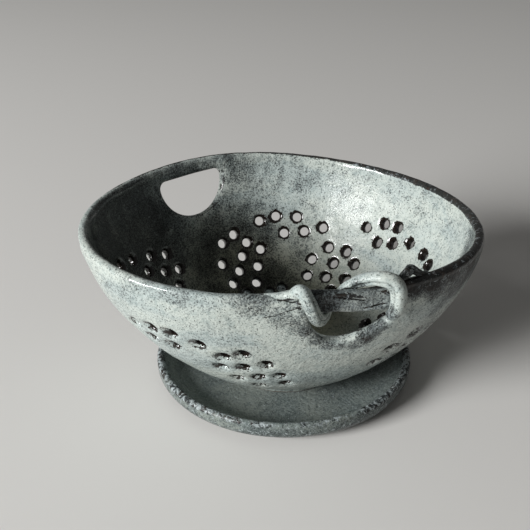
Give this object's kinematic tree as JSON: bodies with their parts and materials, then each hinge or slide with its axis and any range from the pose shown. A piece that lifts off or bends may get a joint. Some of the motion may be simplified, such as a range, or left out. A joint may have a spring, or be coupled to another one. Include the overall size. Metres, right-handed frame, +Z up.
{
  "type": "berry colander bowl",
  "caption": "Hand-built stoneware colander bowl with clustered drain holes, a cut rear finger opening and a coiled front handle, lifting off a round drip saucer.",
  "frame": {"origin": "middle of the saucer's foot, on the table", "axes": "+Z up; -Y towards the coiled front handle, +Y towards the rear finger opening; +X to the right of the handle"},
  "size_m": [0.2016, 0.1891, 0.1066],
  "materials": {
    "bowl_glaze": "semi-gloss grey-green glaze with iron speckle, breaking to charcoal on the edges",
    "handle_glaze": "semi-gloss, darker blue-grey where the glaze is thin",
    "saucer_glaze": "semi-gloss, darker grey-green, with flecks along the lip",
    "bare_clay": "unglazed fired stoneware, matt"
  },
  "bodies": {
    "saucer": {"saucer": "saucer_glaze"},
    "bowl": {"foot_ring": "bare_clay", "bowl_shell": "bowl_glaze", "handle_bar": "handle_glaze", "left_tendril": "bowl_glaze", "right_tendril": "bowl_glaze", "rim_curl": "handle_glaze"}
  },
  "joints": [
    {"name": "bowl_lift", "type": "slide", "parent": "saucer", "child": "bowl", "axis": [0, 0, 1], "range_m": [0, 0.06]}
  ]
}
